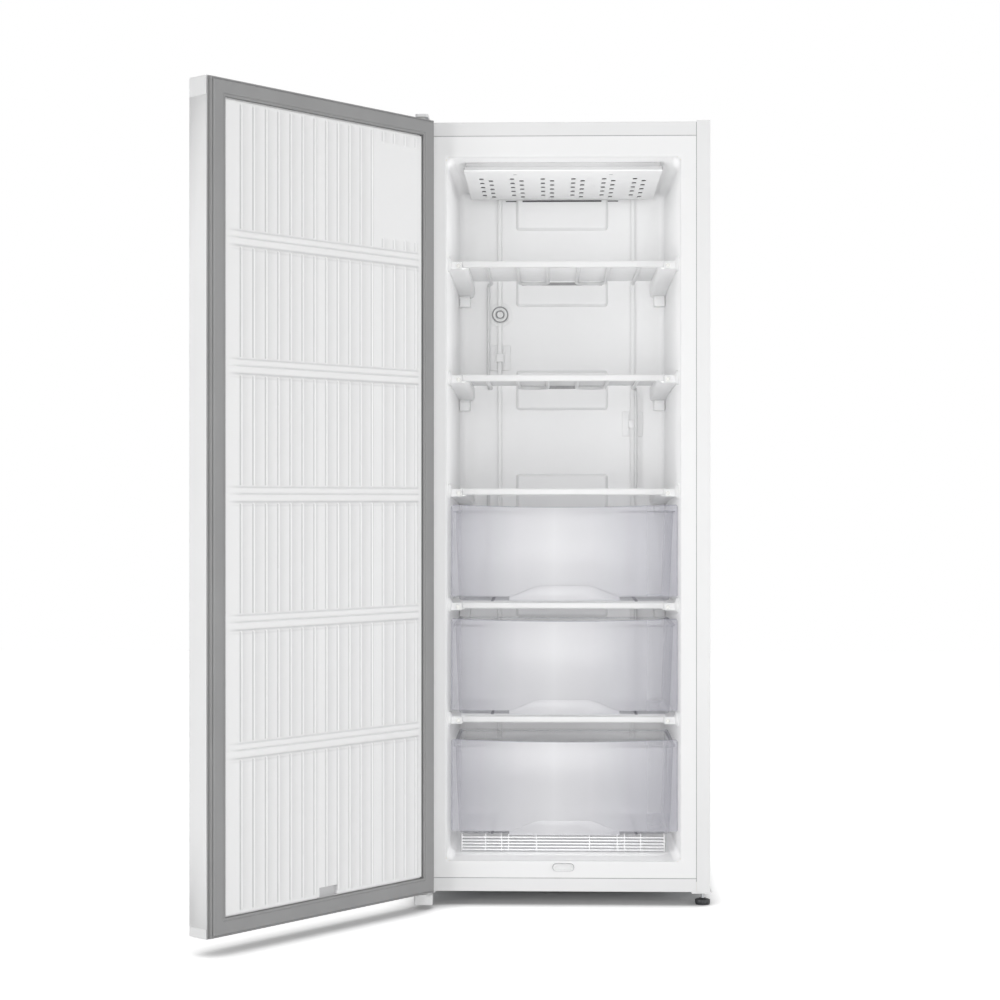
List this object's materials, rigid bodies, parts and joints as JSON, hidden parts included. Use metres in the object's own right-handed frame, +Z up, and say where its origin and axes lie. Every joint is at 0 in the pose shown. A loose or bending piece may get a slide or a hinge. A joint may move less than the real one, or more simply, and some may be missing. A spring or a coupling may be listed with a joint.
{
  "type": "upright freezer",
  "caption": "Free-standing upright freezer with its door swung open, refrigerated wire shelves, clear drawers, front feet, rear rollers and a condenser on the back.",
  "frame": {"origin": "on the floor, under the middle of the bounding box of the whole freezer with its door open", "axes": "+X to the right seen from the front, +Y from the front to the back, +Z up"},
  "size_m": [0.9888, 1.136, 1.6115],
  "materials": {
    "white_steel": "satin",
    "galvanised_steel": "satin",
    "zinc_steel": "satin",
    "black_steel": "satin",
    "foam": "matte",
    "white_liner": "gloss",
    "white_plastic": "satin",
    "clear_plastic": "gloss",
    "coated_wire": "satin",
    "copper": "satin",
    "grey_gasket": "matte",
    "black_rubber": "matte",
    "dark_plastic": "matte",
    "bearing_plastic": "matte"
  },
  "bodies": {
    "cabinet": {"back_panel": "galvanised_steel", "base_pan": "galvanised_steel", "bottom_hinge": "white_steel", "bottom_rail": "white_steel", "cabinet_foam": "foam", "ceiling_cover": "white_plastic", "ceiling_cover_screws": "zinc_steel", "compressor": "black_steel", "compressor_grommets": "black_rubber", "compressor_tray": "galvanised_steel", "condenser": "black_steel", "condenser_brackets": "galvanised_steel", "cord_gland": "black_rubber", "discharge_pipe": "copper", "evaporator_links": "coated_wire", "evaporator_shelf_1": "coated_wire", "evaporator_shelf_2": "coated_wire", "evaporator_shelf_3": "coated_wire", "evaporator_shelf_4": "coated_wire", "evaporator_shelf_5": "coated_wire", "filter_drier": "copper", "hinge_screws": "zinc_steel", "inner_liner": "white_liner", "post_clips": "white_plastic", "rear_posts": "white_plastic", "roller_axles": "zinc_steel", "shelf_end_clips": "white_plastic", "shelf_side_supports": "white_plastic", "shelf_trim_1": "white_plastic", "shelf_trim_2": "white_plastic", "shelf_trim_3": "white_plastic", "shelf_trim_4": "white_plastic", "shelf_trim_5": "white_plastic", "side_panel_left": "white_steel", "side_panel_right": "white_steel", "suction_pipe": "copper", "terminal_box": "dark_plastic", "thermostat_box": "dark_plastic", "top_hinge": "zinc_steel", "top_hinge_cover": "white_plastic", "top_panel": "white_steel", "tube_grommet": "white_plastic", "wire_stand": "coated_wire"},
    "door": {"door_skin": "white_steel", "door_top_cap": "white_plastic", "door_bottom_cap": "white_plastic", "door_foam": "foam", "door_liner": "white_liner", "door_gasket": "grey_gasket", "door_grip": "white_plastic", "door_bushes": "bearing_plastic"},
    "upper_drawer": {"drawer_1": "clear_plastic"},
    "middle_drawer": {"drawer_2": "clear_plastic"},
    "lower_drawer": {"drawer_3": "clear_plastic"},
    "drain": {"drain_spout": "white_plastic"},
    "control_knob": {"thermostat_knob": "dark_plastic"},
    "left_foot": {"front_foot_left": "dark_plastic"},
    "right_foot": {"front_foot_right": "dark_plastic"},
    "left_roller": {"rear_roller_left": "dark_plastic"},
    "right_roller": {"rear_roller_right": "dark_plastic"}
  },
  "joints": [
    {"name": "door_swing", "type": "hinge", "parent": "cabinet", "child": "door", "pos_m": [-0.09976, -0.09456, 0.816], "axis": [0, 0, 1], "range_deg": [0, 129.6]},
    {"name": "upper_drawer_slide", "type": "slide", "parent": "cabinet", "child": "upper_drawer", "axis": [0, 1, 0], "range_m": [-0.25, 0]},
    {"name": "middle_drawer_slide", "type": "slide", "parent": "cabinet", "child": "middle_drawer", "axis": [0, 1, 0], "range_m": [-0.25, 0]},
    {"name": "lower_drawer_slide", "type": "slide", "parent": "cabinet", "child": "lower_drawer", "axis": [0, 1, 0], "range_m": [-0.25, 0]},
    {"name": "drain_pull", "type": "slide", "parent": "cabinet", "child": "drain", "axis": [0, 1, 0], "range_m": [-0.045, 0]},
    {"name": "knob_turn", "type": "hinge", "parent": "cabinet", "child": "control_knob", "pos_m": [-0.02456, 0.53114, 0.067], "axis": [0, 1, 0], "range_deg": [0, 270]},
    {"name": "left_foot_turn", "type": "hinge", "parent": "cabinet", "child": "left_foot", "pos_m": [-0.09556, -0.03386, 0.02], "axis": [0, 0, 1], "continuous": true},
    {"name": "right_foot_turn", "type": "hinge", "parent": "cabinet", "child": "right_foot", "pos_m": [0.47644, -0.03386, 0.02], "axis": [0, 0, 1], "continuous": true},
    {"name": "left_roller_spin", "type": "hinge", "parent": "cabinet", "child": "left_roller", "pos_m": [-0.06456, 0.50113, 0.014], "axis": [1, 0, 0], "continuous": true},
    {"name": "right_roller_spin", "type": "hinge", "parent": "cabinet", "child": "right_roller", "pos_m": [0.44544, 0.50113, 0.014], "axis": [1, 0, 0], "continuous": true}
  ]
}
